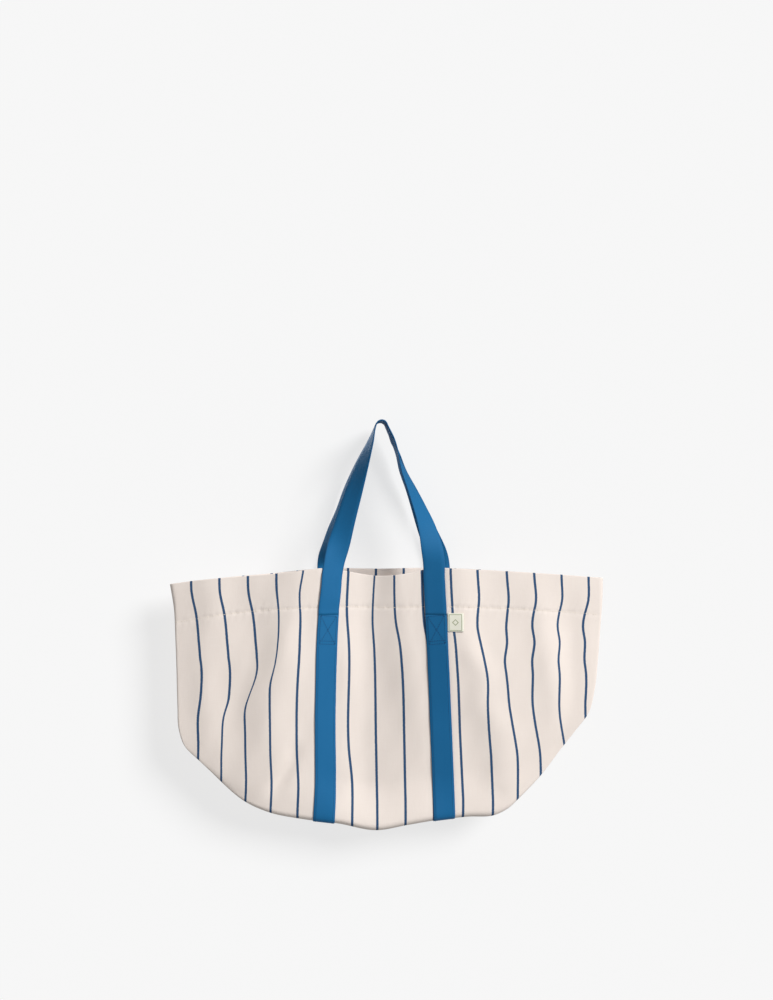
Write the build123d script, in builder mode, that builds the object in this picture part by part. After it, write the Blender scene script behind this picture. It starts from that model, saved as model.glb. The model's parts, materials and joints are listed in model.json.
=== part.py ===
"""Large canvas laundry tote, hanging empty from one peg by both of its webbing handles.

Millimetres, +Z up. The origin is on the peg's axis, which runs along Y through both handle
loops. +X is to the right, -Y is the front of the bag and +Y is the side next to the wall.
The bag is two half shells that meet at the side folds, so that its mouth can open about the
bottom fold. What is sewn to one half is made for the front and for the rear by the same loop.
"""

from build123d import *
from math import asin, atan, atan2, cos, degrees, hypot, pi, sin
import os

os.makedirs("parts", exist_ok=True)

# ---- Driving dimensions ----

WEBBING_WIDTH = 35.0
WEBBING_THICK = 1.8
CANVAS_THICK = 1.6
HEM_THICK = 1.2
PLY_GAP = 0.1               # between two plies of cloth that are sewn together
THREAD_WIDTH = 0.8
THREAD_PROUD = 0.3

PEG_LOOP_RADIUS = 8.0
LOOP_SPACING = 2.0          # between the two loops, side by side on the peg

RIM_Z = -230.0              # the rim at the straps and between them
RIM_FLAT_HALF = 136.0
RIM_END_DROP = 22.0         # how much lower the rim hangs at the side folds
HEM_DEPTH = 62.0
FOLD_Z = -650.0             # bottom fold, the line about which the mouth opens
FLAT_HALF = 136.0           # half width of the flat middle of each panel
HALF_SPLIT = 0.4            # each half shell starts this far from the middle plane
SIDE_EDGE_DEPTH = 3.0       # half thickness of the bag at its side folds

STRAP_X_RIM = {"front": 83.0, "rear": 96.0}    # strap centre lines at the rim
STRAP_X_FOLD = 98.0         # and at the bottom fold, where front and rear meet
STRAP_TOP_Z = -299.0        # top of the webbing that is sewn down
STRAP_END_Z = -643.5        # where a front strap ends, just above the fold
FREE_WEBBING_GAP = 1.2      # from the panel to the free webbing that hangs in front of it
HANDLE_END_GAP = 1.4        # from the sewn webbing to the handle that folds above it
BOX_STITCH_WIDTH = 27.0
BOX_STITCH_HEIGHT = 45.0
BOX_STITCH_TOP_GAP = 3.0
SECOND_ROW_GAP = 5.0
STITCH_FROM_EDGE = 4.0
ROW_END_GAP = 2.0           # between the ends of the long rows and what they stop at
UNDER_REACH = 4.0           # how far the rear webbing runs forward under the fold
UNDER_FRONT_GAP = 1.0       # how far short of the front the cloth under the fold stops
LIP_OVERLAP = 0.5           # how far that cloth's upturned edge reaches into the rear panel

LABEL_WIDTH = 24.0
LABEL_HEIGHT = 34.0
LABEL_THICK = 0.7

SEAM_WIDTH = 12.0
SEAM_THICK = 1.2
SEAM_CLEARANCE = 2.2        # from the bag's outer edge to the seam allowance inside it

# The bag at each level: height, half width, half depth over the flat middle.
LEVELS = [
    (RIM_Z, 351.0, 45.0),
    (-330.0, 345.0, 45.0),
    (-440.0, 338.0, 45.0),
    (-490.0, 328.0, 45.0),
    (-590.0, 236.0, 43.0),
    (-625.0, 190.0, 32.0),
    (-648.0, 148.0, 6.0),
]
CORNER_TOP_Z = LEVELS[3][0]
CORNER_END_Z = LEVELS[5][0]
PANEL_END_Z, FOLD_HALF_WIDTH, FOLD_HALF_DEPTH = LEVELS[-1]
UNDER_Z = FOLD_Z - HALF_SPLIT - CANVAS_THICK    # underside of the cloth that turns under the fold

SIDES = {"front": -1, "rear": 1}
HANDS = {"left": -1, "right": 1}


# ---- Shape of the bag ----

def level_value(z, column):
    """Half width (column 1) or half depth (column 2) of the bag at a height."""
    for upper, lower in zip(LEVELS, LEVELS[1:]):
        if z >= lower[0]:
            share = (upper[0] - z) / (upper[0] - lower[0])
            return upper[column] + share * (lower[column] - upper[column])
    return LEVELS[-1][column]


def half_outline(z):
    """Outside of one half of the bag at a height, from one side fold to the other."""
    half_width = level_value(z, 1)
    corners = [(-half_width, HALF_SPLIT), (-half_width, SIDE_EDGE_DEPTH)]
    corners += [(-FLAT_HALF, level_value(z, 2))]
    return corners + [(-x, y) for x, y in reversed(corners)]


def strap_x(side_name, z):
    """Distance of a sewn strap's centre line from the middle of the bag."""
    rim_x = STRAP_X_RIM[side_name]
    return rim_x + (STRAP_X_FOLD - rim_x) * (RIM_Z - z) / (RIM_Z - FOLD_Z)


def offset_route(route, distance):
    """The open polyline moved to its left by a distance, with mitred corners."""
    headings = [atan2(b[1] - a[1], b[0] - a[0]) for a, b in zip(route, route[1:])]
    moved = []
    for i, (x, y) in enumerate(route):
        before = headings[max(i - 1, 0)]
        after = headings[min(i, len(headings) - 1)]
        middle = (before + after) / 2
        reach = distance / cos((after - before) / 2)
        moved.append((x - reach * sin(middle), y + reach * cos(middle)))
    return moved


def band(route, inner, outer):
    """Closed outline of a ply between two distances from a route."""
    return offset_route(route, outer) + offset_route(route, inner)[::-1]


def export(piece, name):
    piece.part.label = name
    export_step(piece.part, f"parts/{name}.step")


# Planes that trim the rim, which hangs lower towards each side fold.
rim_fall = atan2(RIM_END_DROP, LEVELS[0][1] - RIM_FLAT_HALF)
rim_trims = [
    Plane((hand * RIM_FLAT_HALF, 0, RIM_Z), x_dir=(0, 1, 0), z_dir=(hand * sin(rim_fall), 0, cos(rim_fall)))
    for hand in HANDS.values()
]


def ply_at(z, side, inner, outer):
    """One half of a ply of cloth at a height, as a level sketch to loft."""
    with BuildSketch(Plane.XY.offset(z)) as section:
        with BuildLine():
            outline = [(x, side * y) for x, y in band(half_outline(z), inner, outer)]
            Polyline(*outline, close=True)
        make_face()
    return section.sketch


# ---- Panels, hems and hem stitching ----

for side_name, side in SIDES.items():
    with BuildPart() as panel:
        loft([ply_at(z, side, -CANVAS_THICK, 0.0) for z, _, _ in LEVELS], ruled=True)
        for trim in rim_trims:
            split(bisect_by=trim, keep=Keep.BOTTOM)
        if side_name == "rear":
            # The cloth that turns under the bottom fold goes with the rear half.
            with Locations((0, FOLD_HALF_DEPTH, FOLD_Z - HALF_SPLIT)):
                Box(
                    2 * FOLD_HALF_WIDTH, 2 * FOLD_HALF_DEPTH - UNDER_FRONT_GAP, CANVAS_THICK,
                    align=(Align.CENTER, Align.MAX, Align.MAX),
                )
            with Locations((0, FOLD_HALF_DEPTH, UNDER_Z)):
                Box(
                    2 * FOLD_HALF_WIDTH, CANVAS_THICK, PANEL_END_Z - UNDER_Z + LIP_OVERLAP,
                    align=(Align.CENTER, Align.MAX, Align.MIN),
                )
    export(panel, f"{side_name}_panel")

    with BuildPart() as hem:
        hem_outside = -CANVAS_THICK - PLY_GAP
        hem_levels = (RIM_Z, RIM_Z - HEM_DEPTH)
        loft([ply_at(z, side, hem_outside - HEM_THICK, hem_outside) for z in hem_levels], ruled=True)
        for trim in rim_trims:
            split(bisect_by=trim, keep=Keep.BOTTOM)
    export(hem, f"{side_name}_hem")

    with BuildPart() as hem_stitching:
        thread_levels = (RIM_Z - HEM_DEPTH, RIM_Z - HEM_DEPTH + THREAD_WIDTH)
        loft([ply_at(z, side, 0.0, THREAD_PROUD) for z in thread_levels], ruled=True)
    export(hem_stitching, f"{side_name}_hem_stitching")


# ---- Seam allowances inside the side folds and the boxed lower corners ----

def seam_outline(heights, hand):
    """Strip of cloth that follows the inside of the bag's edge through some heights."""
    edge = [(hand * (level_value(z, 1) - SEAM_CLEARANCE), z) for z in heights]
    inner = [(x - hand * SEAM_WIDTH, z) for x, z in reversed(edge)]
    return edge + inner


seams = {
    "side_seam": [RIM_Z - HEM_DEPTH - 2.0, LEVELS[1][0], LEVELS[2][0], CORNER_TOP_Z + 1.0],
    "corner_seam": [CORNER_TOP_Z - 1.0, LEVELS[4][0], CORNER_END_Z],
}
for hand_name, hand in HANDS.items():
    for seam_name, heights in seams.items():
        with BuildPart() as seam:
            with BuildSketch(Plane.XZ.offset(-HALF_SPLIT)):
                with BuildLine():
                    Polyline(*seam_outline(heights, hand), close=True)
                make_face()
            extrude(amount=-SEAM_THICK)
        export(seam, f"{hand_name}_{seam_name}")


# ---- Sewn straps, their stitching and the boxes that anchor the handles ----

def sewn_strip(side_name, hand, heights, width, thickness, middle=0.0, lift=0.0):
    """Level sections of a strip on a panel: how far it is beside the strap's centre line, and its lift."""
    top_z, end_z = heights
    sections = []
    for z in [top_z] + [z for z, _, _ in LEVELS if end_z < z < top_z] + [end_z]:
        depth = level_value(z, 2) + lift + thickness / 2
        with BuildSketch(Plane.XY.offset(z)) as section:
            with Locations((hand * strap_x(side_name, z) + middle, SIDES[side_name] * depth)):
                Rectangle(width, thickness)
        sections.append(section.sketch)
    return sections


for side_name, side in SIDES.items():
    for hand_name, hand in HANDS.items():
        with BuildPart() as strap:
            end_z = STRAP_END_Z if side_name == "front" else PANEL_END_Z
            strip = sewn_strip(side_name, hand, (STRAP_TOP_Z, end_z), WEBBING_WIDTH, WEBBING_THICK)
            loft(strip, ruled=True)
            if side_name == "rear":
                # The webbing goes on under the bottom fold.
                outside_y = FOLD_HALF_DEPTH + WEBBING_THICK
                with Locations((hand * strap_x(side_name, PANEL_END_Z), outside_y, UNDER_Z)):
                    Box(
                        WEBBING_WIDTH, outside_y + UNDER_REACH, WEBBING_THICK,
                        align=(Align.CENTER, Align.MAX, Align.MAX),
                    )
                with Locations((hand * strap_x(side_name, PANEL_END_Z), outside_y, PANEL_END_Z)):
                    Box(
                        WEBBING_WIDTH, WEBBING_THICK, PANEL_END_Z - UNDER_Z + WEBBING_THICK,
                        align=(Align.CENTER, Align.MAX, Align.MAX),
                    )
        export(strap, f"{side_name}_{hand_name}_strap")

        with BuildPart() as strap_stitching:
            row_top_z = STRAP_TOP_Z - BOX_STITCH_TOP_GAP - BOX_STITCH_HEIGHT - ROW_END_GAP
            for edge in (-1, 1):
                from_middle = edge * (WEBBING_WIDTH / 2 - STITCH_FROM_EDGE)
                row = sewn_strip(
                    side_name, hand, (row_top_z, STRAP_END_Z + ROW_END_GAP), THREAD_WIDTH, THREAD_PROUD,
                    middle=from_middle, lift=WEBBING_THICK,
                )
                loft(row, ruled=True)
        export(strap_stitching, f"{side_name}_{hand_name}_strap_stitching")

        with BuildPart() as box_stitch:
            middle_z = STRAP_TOP_Z - BOX_STITCH_TOP_GAP - BOX_STITCH_HEIGHT / 2
            face_y = side * (level_value(middle_z, 2) + WEBBING_THICK)
            spread = atan((STRAP_X_FOLD - STRAP_X_RIM[side_name]) / (RIM_Z - FOLD_Z))
            across = (-side * cos(spread), 0, -side * hand * sin(spread))
            box_middle = (hand * strap_x(side_name, middle_z), face_y, middle_z)
            cross_angle = degrees(atan2(BOX_STITCH_HEIGHT, BOX_STITCH_WIDTH))
            cross_length = hypot(BOX_STITCH_WIDTH, BOX_STITCH_HEIGHT) - 2 * THREAD_WIDTH
            with BuildSketch(Plane(box_middle, x_dir=across, z_dir=(0, side, 0))):
                Rectangle(BOX_STITCH_WIDTH, BOX_STITCH_HEIGHT)
                Rectangle(
                    BOX_STITCH_WIDTH - 2 * THREAD_WIDTH, BOX_STITCH_HEIGHT - 2 * THREAD_WIDTH,
                    mode=Mode.SUBTRACT,
                )
                for turn in (cross_angle, -cross_angle):
                    Rectangle(cross_length, THREAD_WIDTH, rotation=turn)
                with Locations((0, SECOND_ROW_GAP - BOX_STITCH_HEIGHT / 2)):
                    Rectangle(BOX_STITCH_WIDTH, THREAD_WIDTH)
            extrude(amount=THREAD_PROUD)
        export(box_stitch, f"{side_name}_{hand_name}_box_stitch")


# ---- Handles: free webbing from the box stitch, over the rim and up to the peg ----

LOOP_MIDDLE_RADIUS = PEG_LOOP_RADIUS + WEBBING_THICK / 2
LOOP_MIDDLE_Y = (LOOP_SPACING + WEBBING_WIDTH) / 2
HANDLE_DEPTH = level_value(RIM_Z, 2) + FREE_WEBBING_GAP + WEBBING_THICK / 2
ABOVE_RIM_Z = RIM_Z + 6.0
HANDLE_END_Z = STRAP_TOP_Z + HANDLE_END_GAP
TWIST_STEPS = 8


def webbing_at(centre, direction, twist, hand, side):
    """The webbing's cross-section, turned from edge-on at the peg to flat at the rim."""
    across = Vector(hand * sin(twist), -side * cos(twist), 0)
    heading = Vector(*direction).normalized()
    across = (across - heading * across.dot(heading)).normalized()
    with BuildSketch(Plane(centre, x_dir=across, z_dir=heading)) as section:
        Rectangle(WEBBING_WIDTH, WEBBING_THICK)
    return section.sketch


for side_name, side in SIDES.items():
    # Each leg leaves the loop along a tangent that reaches the strap's centre line at the rim.
    rim_x = strap_x(side_name, ABOVE_RIM_Z)
    leg_lean = atan2(rim_x, -ABOVE_RIM_Z) - asin(LOOP_MIDDLE_RADIUS / hypot(rim_x, ABOVE_RIM_Z))
    with BuildPart() as handle:
        with BuildSketch(Plane.XZ.offset(-side * LOOP_MIDDLE_Y)):
            with BuildLine():
                start = degrees(leg_lean)
                sweep_angle = 180.0 - 2 * start
                outer = CenterArc((0, 0), PEG_LOOP_RADIUS + WEBBING_THICK, start, sweep_angle)
                inner = CenterArc((0, 0), PEG_LOOP_RADIUS, start, sweep_angle)
                Line(outer @ 0, inner @ 0)
                Line(outer @ 1, inner @ 1)
            make_face()
        extrude(amount=WEBBING_WIDTH / 2, both=True)
        for hand in HANDS.values():
            tangent = Vector(hand * cos(leg_lean), 0, sin(leg_lean))
            start_point = tangent * LOOP_MIDDLE_RADIUS + Vector(0, side * LOOP_MIDDLE_Y, 0)
            rim_point = Vector(hand * rim_x, side * HANDLE_DEPTH, ABOVE_RIM_Z)
            end_point = Vector(hand * strap_x(side_name, HANDLE_END_Z), side * HANDLE_DEPTH, HANDLE_END_Z)
            loop_heading = (hand * sin(leg_lean), 0, -cos(leg_lean))
            leg_heading = (rim_point - start_point).normalized()
            hem_heading = (end_point - rim_point).normalized()
            leg = [webbing_at(start_point, loop_heading, 0.0, hand, side)]
            for step in range(1, TWIST_STEPS):
                share = step / TWIST_STEPS
                centre = start_point + (rim_point - start_point) * share
                leg.append(webbing_at(centre, leg_heading, share * pi / 2, hand, side))
            leg.append(webbing_at(rim_point, leg_heading + hem_heading, pi / 2, hand, side))
            leg.append(webbing_at(end_point, (0, 0, -1), pi / 2, hand, side))
            loft(leg, ruled=True)
    export(handle, f"{side_name}_handle_webbing")


# ---- Woven label, caught under the edge of the front right strap ----

with BuildPart() as label:
    label_top_z = STRAP_TOP_Z - 1.0
    strap_edge_x = strap_x("front", label_top_z - LABEL_HEIGHT) + WEBBING_WIDTH / 2
    label_x = strap_edge_x + PLY_GAP + LABEL_WIDTH / 2
    with BuildSketch(Plane.XZ.offset(level_value(label_top_z, 2))):
        with Locations((label_x, label_top_z - LABEL_HEIGHT / 2)):
            Rectangle(LABEL_WIDTH, LABEL_HEIGHT)
    extrude(amount=LABEL_THICK)
export(label, "woven_label")
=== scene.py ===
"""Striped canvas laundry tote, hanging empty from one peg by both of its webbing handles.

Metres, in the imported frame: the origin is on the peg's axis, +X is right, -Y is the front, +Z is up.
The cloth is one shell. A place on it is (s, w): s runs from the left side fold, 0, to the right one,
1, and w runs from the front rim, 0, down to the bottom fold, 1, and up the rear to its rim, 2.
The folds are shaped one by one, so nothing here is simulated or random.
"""

import json
from functools import cache
from math import cos, pi, radians, sin

import bpy
import numpy as np
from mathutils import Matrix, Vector


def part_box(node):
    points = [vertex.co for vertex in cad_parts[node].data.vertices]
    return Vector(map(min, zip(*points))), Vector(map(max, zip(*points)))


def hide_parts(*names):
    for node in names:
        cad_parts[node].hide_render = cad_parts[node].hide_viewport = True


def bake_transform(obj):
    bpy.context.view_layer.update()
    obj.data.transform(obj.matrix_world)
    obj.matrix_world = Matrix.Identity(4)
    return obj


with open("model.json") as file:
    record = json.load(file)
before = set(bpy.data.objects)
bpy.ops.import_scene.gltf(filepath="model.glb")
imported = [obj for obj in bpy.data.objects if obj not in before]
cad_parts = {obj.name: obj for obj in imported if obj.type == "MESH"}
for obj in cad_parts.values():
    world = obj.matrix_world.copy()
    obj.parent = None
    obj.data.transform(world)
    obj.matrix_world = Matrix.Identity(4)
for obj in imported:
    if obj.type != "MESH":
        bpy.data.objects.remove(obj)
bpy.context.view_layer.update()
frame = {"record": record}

FRONT, REAR = -1, 1
LEFT, RIGHT = -1, 1
SIDE_NAMES = {FRONT: "front", REAR: "rear"}
HAND_NAMES = {LEFT: "left", RIGHT: "right"}

# ---- Driving dimensions, in metres ----

PEG_LOOP = frame["record"]["mounts"][0]

STRAP_TOP_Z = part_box("front_left_strap")[1].z

CLOTH_THICK = 0.0012
HEM_GAP = 0.0022            # from the outer ply to the turned-in one
BODY_WIDTH = 0.704          # of the cloth from one side fold to the other
BODY_HEIGHT = 0.400         # of the cloth from the rim to the bottom fold
SHELL_DEPTH = 0.045         # half depth of the flat middle
TAPER = 0.300               # width over which the depth falls to each side fold
EDGE_DEPTH = 0.003          # half depth at a side fold or the bottom fold
MOUTH_EDGE_DEPTH = 0.0065   # half depth at a side fold's top, which stands open
MOUTH_REACH = 0.090         # how far down it takes to close to the other

WEBBING_WIDTH = 0.035
CLEARANCE = 0.0002          # between cloth and what is sewn to it
WEBBING_THICK = 0.0018
LOOP_SPACING = 0.002        # between the two loops on the peg
LOOP_RADIUS = PEG_LOOP["dims"]["r_mm"] / 1000 + WEBBING_THICK / 2
LOOP_MIDDLE_Y = (LOOP_SPACING + WEBBING_WIDTH) / 2
LOOP_PITCH = radians(2.0)   # the loops sit a little higher at the front than at the back
LOOP_LIFT = 0.0006          # clear of the peg, so that the pitch doesn't cut into it

LABEL_WIDTH = 0.0255
LABEL_HEIGHT = 0.0295
LABEL_TOP_Z = -0.2985

STITCH_SPACING = 1.28       # from one stitch to the next, in stitch lengths

STRIPE_PITCH = 0.0454
STRIPE_OFFSET = -0.0068
STRIPE_WIDTH = 0.0041

# ---- Outline of the bag as it hangs: x, z ----

RIM = {
    FRONT: [
        (-0.339, -0.2525), (-0.299, -0.2466), (-0.256, -0.2421), (-0.211, -0.2387), (-0.166, -0.2346),
        (-0.121, -0.2294), (-0.095, -0.2265), (-0.062, -0.231), (-0.004, -0.2395), (0.045, -0.2345),
        (0.08, -0.227), (0.11, -0.227), (0.155, -0.2297), (0.199, -0.232), (0.242, -0.2348),
        (0.286, -0.2378), (0.33, -0.2415), (0.36, -0.244),
    ],
    REAR: [
        (-0.339, -0.2525), (-0.3, -0.2482), (-0.25, -0.243), (-0.166, -0.2365), (-0.088, -0.23),
        (0.0, -0.2305), (0.09, -0.2295), (0.155, -0.232), (0.242, -0.2364), (0.33, -0.2425),
        (0.36, -0.244),
    ],
}
HEM_LINE = [
    (-0.339, -0.3155), (-0.25, -0.3005), (-0.15, -0.291), (-0.095, -0.2887), (0.0, -0.29),
    (0.11, -0.2885), (0.18, -0.291), (0.27, -0.2965), (0.36, -0.304),
]
LEFT_EDGE = [
    (-0.339, -0.2525), (-0.3325, -0.293), (-0.3305, -0.335), (-0.3285, -0.39), (-0.327, -0.448),
    (-0.325, -0.485), (-0.317, -0.51), (-0.283, -0.541),
]
RIGHT_EDGE = [
    (0.36, -0.244), (0.359, -0.28), (0.356, -0.322), (0.352, -0.375), (0.3465, -0.425),
    (0.3365, -0.463), (0.317, -0.489), (0.2885, -0.524),
]
BOTTOM_EDGE = [
    (-0.283, -0.541), (-0.254, -0.573), (-0.217, -0.604), (-0.18, -0.621), (-0.13, -0.632),
    (-0.07, -0.64), (-0.006, -0.6515), (0.04, -0.644), (0.09, -0.636), (0.14, -0.631),
    (0.185, -0.628), (0.206, -0.617), (0.222, -0.602), (0.26, -0.562), (0.2885, -0.524),
]

# ---- Gathers: cloth taken up by a fold, which shifts the stripes beside it ----

def straight(place, rows):
    """Rows of a gather that keeps one place across the cloth, from its (z, cloth taken up)."""
    return [(z, place, taken) for z, taken in rows]


# Each is (hand, width, rows of (z, place across the flat cloth, cloth taken up)).
GATHERS = {
    FRONT: [
        (LEFT, 0.06, straight(-0.095, [
            (-0.228, 0.007), (-0.262, 0.01), (-0.3, 0.016), (-0.345, 0.0125), (-0.4, 0.009),
            (-0.5, 0.008), (-0.57, 0.0045), (-0.61, 0.003),
        ])),
        (LEFT, 0.08, [
            (-0.232, -0.126, 0.014), (-0.262, -0.15, 0.0135), (-0.3, -0.175, 0.0155),
            (-0.34, -0.186, 0.02), (-0.39, -0.205, 0.0245), (-0.43, -0.236, 0.02),
            (-0.468, -0.272, 0.012), (-0.516, -0.29, 0.011), (-0.62, -0.3, 0.006),
        ]),
        (LEFT, 0.16, [
            (-0.37, -0.215, 0.0), (-0.43, -0.215, 0.008), (-0.468, -0.215, 0.012), (-0.62, -0.22, 0.01),
        ]),
        (LEFT, 0.03, straight(-0.028, [
            (-0.228, -0.001), (-0.3, -0.0035), (-0.345, -0.0005), (-0.52, 0.0), (-0.57, 0.005),
            (-0.64, 0.005),
        ])),
        (RIGHT, 0.03, straight(-0.028, [
            (-0.24, 0.0025), (-0.27, 0.0045), (-0.31, 0.006), (-0.36, 0.0038), (-0.5, 0.002), (-0.6, 0.0),
        ])),
        (RIGHT, 0.07, [
            (-0.235, 0.013, 0.0176), (-0.282, 0.012, 0.0137), (-0.317, 0.01, 0.01),
            (-0.341, 0.008, 0.0063), (-0.38, 0.005, 0.0035), (-0.44, 0.0, 0.001), (-0.52, 0.0, 0.0),
        ]),
        (RIGHT, 0.05, straight(0.09, [
            (-0.24, 0.0), (-0.3, -0.001), (-0.345, 0.0022), (-0.43, 0.0026), (-0.6, -0.002),
        ])),
        (RIGHT, 0.046, straight(0.152, [
            (-0.24, 0.002), (-0.275, 0.0015), (-0.305, 0.0055), (-0.325, 0.0066), (-0.345, 0.005),
            (-0.377, 0.0005), (-0.4, -0.002), (-0.45, -0.0006), (-0.53, -0.003),
        ])),
        (RIGHT, 0.046, straight(0.197, [
            (-0.24, -0.002), (-0.32, -0.0015), (-0.345, 0.002), (-0.377, 0.0127), (-0.4, 0.014),
            (-0.44, 0.011), (-0.475, 0.007), (-0.53, 0.0025), (-0.6, 0.005),
        ])),
        (RIGHT, 0.046, straight(0.243, [
            (-0.24, 0.001), (-0.281, 0.0012), (-0.31, 0.0035), (-0.35, 0.0007), (-0.39, 0.0015),
            (-0.43, 0.006), (-0.54, 0.0078),
        ])),
        (RIGHT, 0.08, straight(0.31, [
            (-0.24, 0.001), (-0.3, 0.005), (-0.34, 0.007), (-0.38, 0.0035), (-0.43, 0.002),
            (-0.47, 0.006),
        ])),
    ],
    REAR: [
        (LEFT, 0.08, [(-0.228, -0.13, 0.01), (-0.4, -0.19, 0.016), (-0.6, -0.22, 0.0)]),
        (RIGHT, 0.08, [(-0.228, 0.13, 0.01), (-0.4, 0.2, 0.016), (-0.6, 0.23, 0.0)]),
    ],
}

# ---- Relief of the shell, outwards, in rows of (z, x, height, width) down each fold ----

# Slopes: from left to right across its width, a slope raises all that is right of it.
SLOPES = {
    FRONT: [
        # rise to the ridge beside the left strap
        [(-0.225, -0.16, 0.004, 0.06), (-0.3, -0.168, 0.006, 0.06), (-0.365, -0.185, 0.009, 0.06),
         (-0.442, -0.206, 0.009, 0.06), (-0.527, -0.218, 0.006, 0.06), (-0.6, -0.222, 0.002, 0.06)],
        # fall from the ridge to the left strap
        [(-0.225, -0.116, -0.003, 0.04), (-0.3, -0.122, -0.005, 0.05), (-0.365, -0.13, -0.008, 0.06),
         (-0.442, -0.14, -0.011, 0.072), (-0.527, -0.146, -0.01, 0.075), (-0.6, -0.15, -0.006, 0.075)],
        # fall across the left strap itself
        [(-0.225, -0.079, -0.015, 0.046), (-0.293, -0.085, -0.015, 0.046), (-0.45, -0.0905, -0.014, 0.046),
         (-0.604, -0.0915, -0.01, 0.046)],
        # fall on to the bottom of the middle valley
        [(-0.225, -0.044, -0.006, 0.044), (-0.45, -0.048, -0.007, 0.05), (-0.604, -0.048, -0.004, 0.056)],
        # rise out of it, steep at the rim and long below
        [(-0.225, 0.003, 0.012, 0.048), (-0.33, 0.012, 0.012, 0.07), (-0.45, 0.022, 0.011, 0.1),
         (-0.604, 0.022, 0.006, 0.1)],
        # rise across the right strap
        [(-0.225, 0.0825, 0.009, 0.05), (-0.45, 0.093, 0.009, 0.05), (-0.604, 0.1005, 0.006, 0.05)],
    ],
    REAR: [],
}

# Bumps: ridges and hollows that fade away on both sides.
BUMPS = {
    FRONT: [
        # ridge from the right strap's top, down and to the right
        [(-0.225, 0.13, 0.001, 0.022), (-0.29, 0.13, 0.003, 0.022), (-0.355, 0.14, 0.005, 0.024),
         (-0.39, 0.158, 0.0054, 0.026), (-0.45, 0.17, 0.005, 0.03), (-0.495, 0.192, 0.0044, 0.032),
         (-0.56, 0.203, 0.003, 0.032), (-0.61, 0.206, 0.001, 0.032)],
        # hollow on its left, towards the base
        [(-0.38, 0.122, 0.0, 0.022), (-0.438, 0.13, -0.0008, 0.026), (-0.52, 0.15, -0.0014, 0.03),
         (-0.6, 0.165, -0.0008, 0.026)],
        # soft outer folds on the right
        [(-0.24, 0.25, 0.001, 0.022), (-0.34, 0.262, 0.0035, 0.024), (-0.44, 0.276, 0.004, 0.026),
         (-0.52, 0.28, 0.001, 0.026)],
        [(-0.24, 0.306, -0.001, 0.022), (-0.34, 0.31, -0.003, 0.024), (-0.44, 0.312, -0.002, 0.024),
         (-0.5, 0.312, 0.0, 0.024)],
        # soft outer fold on the left
        [(-0.25, -0.272, 0.002, 0.03), (-0.35, -0.28, 0.003, 0.03), (-0.47, -0.284, 0.003, 0.03),
         (-0.54, -0.276, 0.001, 0.028)],
        # short crease above the lower left corner
        [(-0.5, -0.136, 0.0, 0.01), (-0.53, -0.142, -0.004, 0.012), (-0.57, -0.164, -0.005, 0.014),
         (-0.605, -0.184, 0.0, 0.012)],
        # dimple at the base corner on the right
        [(-0.575, 0.188, 0.0, 0.012), (-0.6, 0.194, -0.0018, 0.014), (-0.618, 0.2, 0.0, 0.012)],
    ],
    REAR: [
        [(-0.228, -0.14, 0.006, 0.03), (-0.4, -0.18, 0.008, 0.034), (-0.58, -0.2, 0.001, 0.03)],
        [(-0.228, -0.2, -0.004, 0.03), (-0.4, -0.236, -0.006, 0.032), (-0.56, -0.25, 0.0, 0.03)],
        [(-0.228, 0.145, 0.006, 0.03), (-0.4, 0.19, 0.008, 0.034), (-0.58, 0.205, 0.001, 0.03)],
        [(-0.228, 0.205, -0.004, 0.03), (-0.4, 0.246, -0.006, 0.032), (-0.56, 0.255, 0.0, 0.03)],
        [(-0.228, 0.0, -0.01, 0.05), (-0.43, 0.0, -0.007, 0.06), (-0.64, 0.0, -0.002, 0.06)],
    ],
}

# How far the side folds hang in front of the middle plane.
FOLD_FORWARD = {LEFT: 0.013, RIGHT: 0.012}


# ---- Curves through named points ----

def through(knots, values, at):
    """Smooth curve through values at rising knots; beyond the ends it keeps the end values."""
    knots = np.asarray(knots, float)
    values = np.asarray(values, float)
    at = np.clip(at, knots[0], knots[-1])
    slopes = np.gradient(values, knots, axis=0)
    left = np.clip(np.searchsorted(knots, at, side="right") - 1, 0, len(knots) - 2)
    width = knots[left + 1] - knots[left]
    q = (at - knots[left]) / width
    if values.ndim == 2:
        q = q[..., None]
        width = width[..., None]
    rise = values[left + 1] - values[left]
    a = slopes[left] * width - rise
    b = rise - slopes[left + 1] * width
    return values[left] + rise * q + q * (1 - q) * (a * (1 - q) + b * q)


def run_along(points):
    """Distance run along a line of points, at each of them."""
    return np.concatenate([[0.0], np.cumsum(np.linalg.norm(np.diff(points, axis=0), axis=1))])


def at_run(run, runs, values):
    """Rows of values at a run, or at several, between stations whose runs are known."""
    return np.stack([np.interp(run, runs, values[:, k]) for k in range(3)], -1)


def along(points, share):
    """Place on the smooth curve through points, at a share of its length."""
    points = np.asarray(points, float)
    knots = run_along(points)
    return through(knots / knots[-1], points, share)


def at_height(rows, z):
    """Columns of a fold's rows, at heights z, as separate arrays."""
    rows = np.asarray(rows, float)
    return np.moveaxis(through(-rows[:, 0], rows[:, 1:], -np.asarray(z)), -1, 0)


def ramp(q):
    q = np.clip(q, 0, 1)
    return q * q * (3 - 2 * q)


def unit(rows):
    return rows / np.linalg.norm(rows, axis=-1, keepdims=True)


def square_to(axes, rows):
    """Unit directions of the rows, without their part along the axes."""
    return unit(rows - axes * np.sum(rows * axes, axis=-1, keepdims=True))


def quarter_round(q):
    """Rises from 0 to 1 like a quarter circle."""
    return np.sqrt(1 - (1 - np.clip(q, 0, 1)) ** 2)


# ---- The shell ----

def rim_z(side, x):
    rim = np.asarray(RIM[side])
    return through(rim[:, 0], rim[:, 1], x)


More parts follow.
